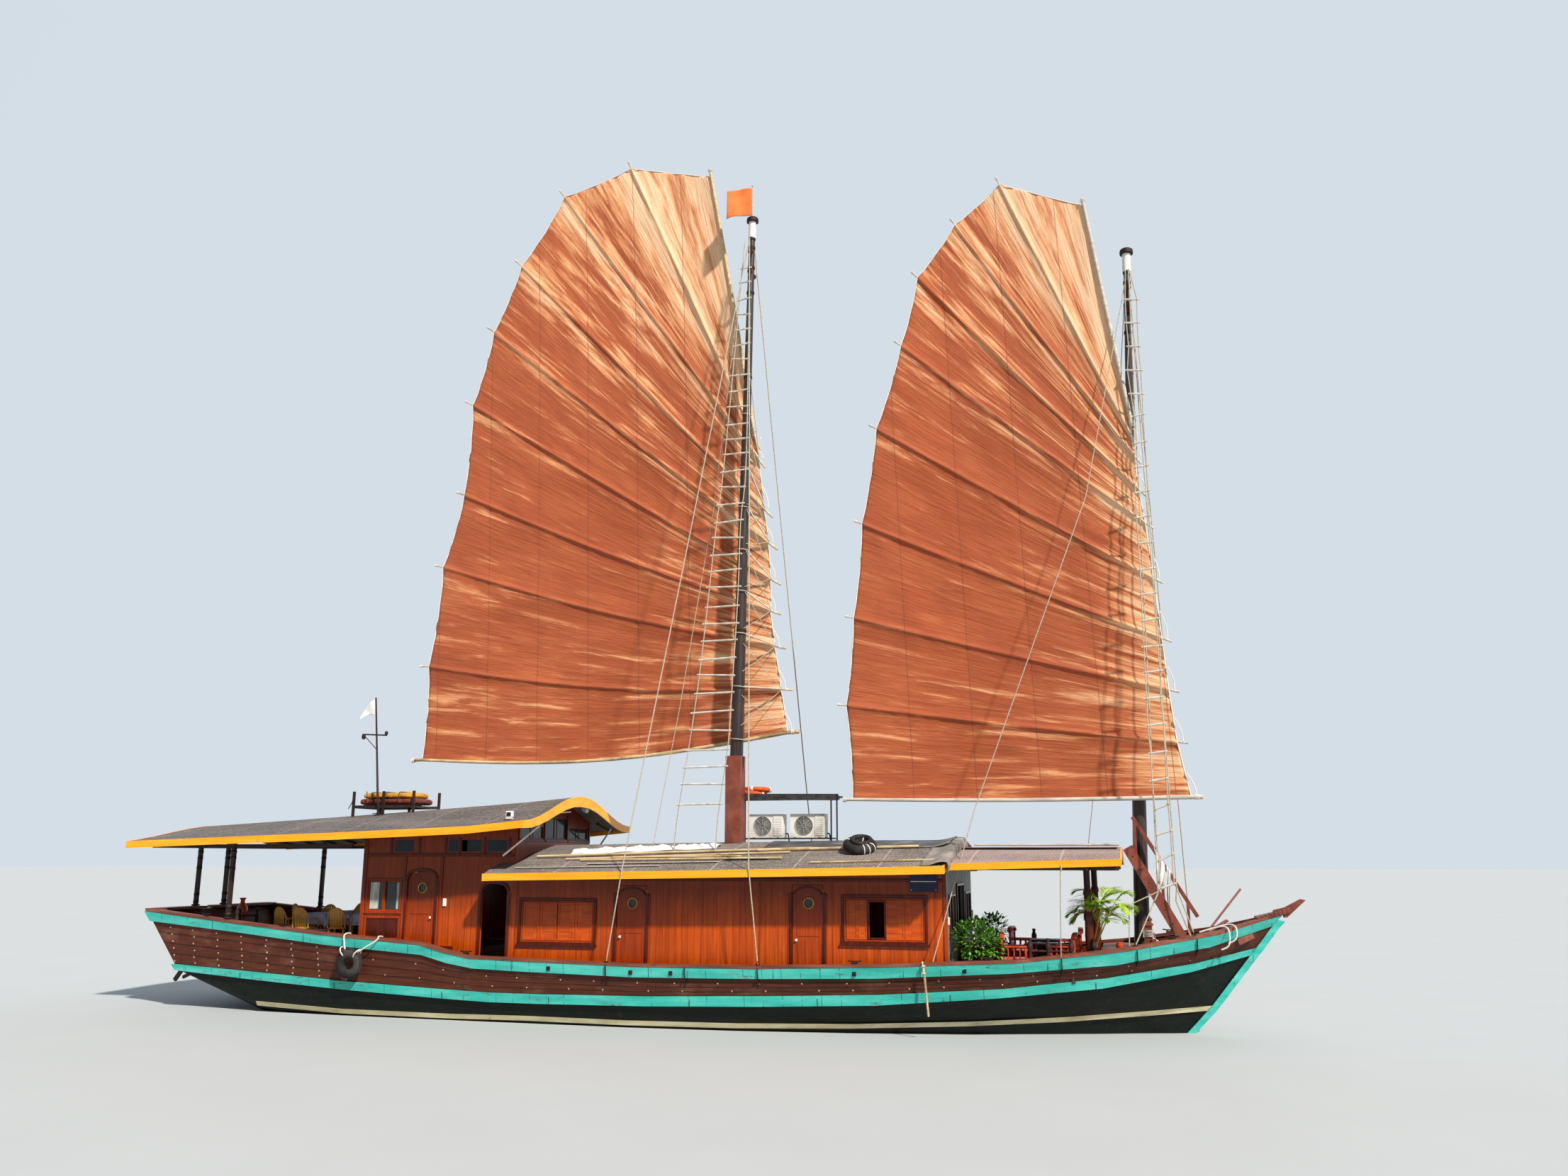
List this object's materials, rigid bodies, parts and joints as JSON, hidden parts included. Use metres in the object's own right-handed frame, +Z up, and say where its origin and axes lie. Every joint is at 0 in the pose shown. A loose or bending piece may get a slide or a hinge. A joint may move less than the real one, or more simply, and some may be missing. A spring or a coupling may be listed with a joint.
{
  "type": "chinese junk ship",
  "caption": "Wooden cruising junk with battened lug sails on masts that carry rope ladders, a long low deckhouse, a raised aft house under a curved roof, and a bow stair.",
  "frame": {"origin": "on the centreline in the plane of the water, midway along the length", "axes": "+X to the bow, +Y to port, +Z up"},
  "size_m": [27.202, 6.064, 23.9553],
  "materials": {
    "hull_paint": "weathered dark brown paint on planks",
    "bottom_paint": "dark green-black bottom paint",
    "bronze": "dull bronze",
    "strake_paint": "turquoise gloss paint, worn",
    "rail_cream": "cream paint, stained",
    "rail_wood": "red-brown paint, worn",
    "stair_wood": "red-brown paint",
    "roof_felt": "weathered grey-brown painted boards",
    "canopy_cloth": "faded mauve-grey painted boards",
    "fascia_paint": "orange-yellow gloss paint",
    "varnished_wood": "orange varnish",
    "grey_paint": "grey-green paint",
    "dark_wood": "dark brown paint",
    "mast_wood": "dark oiled timber",
    "sailcloth": "matt orange-brown cloth",
    "bamboo": "dry bamboo",
    "rope": "grey laid rope",
    "steel": "dark paint",
    "white_metal": "off-white paint",
    "raft_cover": "faded orange cloth",
    "tyre_rubber": "worn black rubber"
  },
  "bodies": {
    "ship": {"hull": "hull_paint", "bulwark_port": "hull_paint", "bulwark_starboard": "hull_paint", "bulwark_bow": "hull_paint", "sheer_strake": "strake_paint", "rub_strake": "strake_paint", "waterline_rail_port": "rail_cream", "waterline_rail_starboard": "rail_cream", "cap_rail_port": "rail_wood", "cap_rail_starboard": "rail_wood", "stem": "strake_paint", "stem_head": "stair_wood", "keel": "bottom_paint", "aft_roof": "roof_felt", "aft_roof_fascia": "fascia_paint", "main_roof": "roof_felt", "main_roof_fascia": "fascia_paint", "canopy_roof": "canopy_cloth", "canopy_fascia": "fascia_paint", "house_side_port": "varnished_wood", "house_side_starboard": "varnished_wood", "house_aft_wall": "varnished_wood", "wheelhouse_front": "varnished_wood", "house_front_wall": "grey_paint", "main_shutters_port": "varnished_wood", "main_shutters_starboard": "varnished_wood", "fore_shutters_port": "varnished_wood", "fore_shutters_starboard": "varnished_wood", "aft_deck_frame": "dark_wood", "canopy_frame": "dark_wood", "main_mast_trunk": "stair_wood", "main_mast": "mast_wood", "fore_mast": "mast_wood", "bow_stair": "stair_wood", "aircon_rack": "steel", "raft_rack": "dark_wood", "life_rafts": "raft_cover", "roof_pole": "dark_wood", "bow_bitts": "stair_wood", "tyre_fender": "tyre_rubber", "aircon_unit_aft": "white_metal", "aircon_unit_fore": "white_metal", "main_shrouds_starboard": "rope", "main_shroud_port": "rope", "fore_shrouds_starboard": "rope", "fore_shrouds_port": "rope"},
    "main_sail": {"main_sail": "sailcloth", "main_sail_battens": "bamboo"},
    "fore_sail": {"fore_sail": "sailcloth", "fore_sail_battens": "bamboo"},
    "rudder": {"rudder": "bottom_paint"},
    "propeller": {"propeller": "bronze"},
    "door_galley_port": {"door_galley_port": "varnished_wood"},
    "door_galley_starboard": {"door_galley_starboard": "varnished_wood"},
    "door_passage_port": {"door_passage_port": "varnished_wood"},
    "door_passage_starboard": {"door_passage_starboard": "varnished_wood"},
    "door_cabin_aft_port": {"door_cabin_aft_port": "varnished_wood"},
    "door_cabin_aft_starboard": {"door_cabin_aft_starboard": "varnished_wood"},
    "door_cabin_fore_port": {"door_cabin_fore_port": "varnished_wood"},
    "door_cabin_fore_starboard": {"door_cabin_fore_starboard": "varnished_wood"}
  },
  "joints": [
    {"name": "main_sail_swing", "type": "hinge", "parent": "ship", "child": "main_sail", "pos_m": [1.165, 0, 5], "axis": [0.023, 0, 0.9997], "range_deg": [-32, 40]},
    {"name": "fore_sail_swing", "type": "hinge", "parent": "ship", "child": "fore_sail", "pos_m": [10.31, 0, 1.709], "axis": [0.0374, 0, 0.9993], "range_deg": [-14, 35]},
    {"name": "rudder_turn", "type": "hinge", "parent": "ship", "child": "rudder", "pos_m": [-10.15, 0, -0.5], "axis": [0, 0, 1], "range_deg": [-35, 35]},
    {"name": "propeller_spin", "type": "hinge", "parent": "ship", "child": "propeller", "pos_m": [-9.52, 0, -0.68], "axis": [1, 0, 0], "continuous": true},
    {"name": "door_galley_port_hinge", "type": "hinge", "parent": "ship", "child": "door_galley_port", "pos_m": [-6.3, 1.92, 1.5], "axis": [0, 0, -1], "range_deg": [0, 90]},
    {"name": "door_galley_starboard_hinge", "type": "hinge", "parent": "ship", "child": "door_galley_starboard", "pos_m": [-6.3, -1.92, 1.5], "axis": [0, 0, 1], "range_deg": [0, 90]},
    {"name": "door_passage_port_hinge", "type": "hinge", "parent": "ship", "child": "door_passage_port", "pos_m": [-3.68, 1.92, 1.5], "axis": [0, 0, 1], "range_deg": [-90, 0]},
    {"name": "door_passage_starboard_hinge", "type": "hinge", "parent": "ship", "child": "door_passage_starboard", "pos_m": [-3.68, -1.92, 1.5], "axis": [0, 0, -1], "range_deg": [-90, 0]},
    {"name": "door_cabin_aft_port_hinge", "type": "hinge", "parent": "ship", "child": "door_cabin_aft_port", "pos_m": [-0.25, 1.92, 1.5], "axis": [0, 0, 1], "range_deg": [0, 90]},
    {"name": "door_cabin_aft_starboard_hinge", "type": "hinge", "parent": "ship", "child": "door_cabin_aft_starboard", "pos_m": [-0.25, -1.92, 1.5], "axis": [0, 0, -1], "range_deg": [0, 90]},
    {"name": "door_cabin_fore_port_hinge", "type": "hinge", "parent": "ship", "child": "door_cabin_fore_port", "pos_m": [3.8, 1.92, 1.5], "axis": [0, 0, 1], "range_deg": [0, 90]},
    {"name": "door_cabin_fore_starboard_hinge", "type": "hinge", "parent": "ship", "child": "door_cabin_fore_starboard", "pos_m": [3.8, -1.92, 1.5], "axis": [0, 0, -1], "range_deg": [0, 90]}
  ]
}
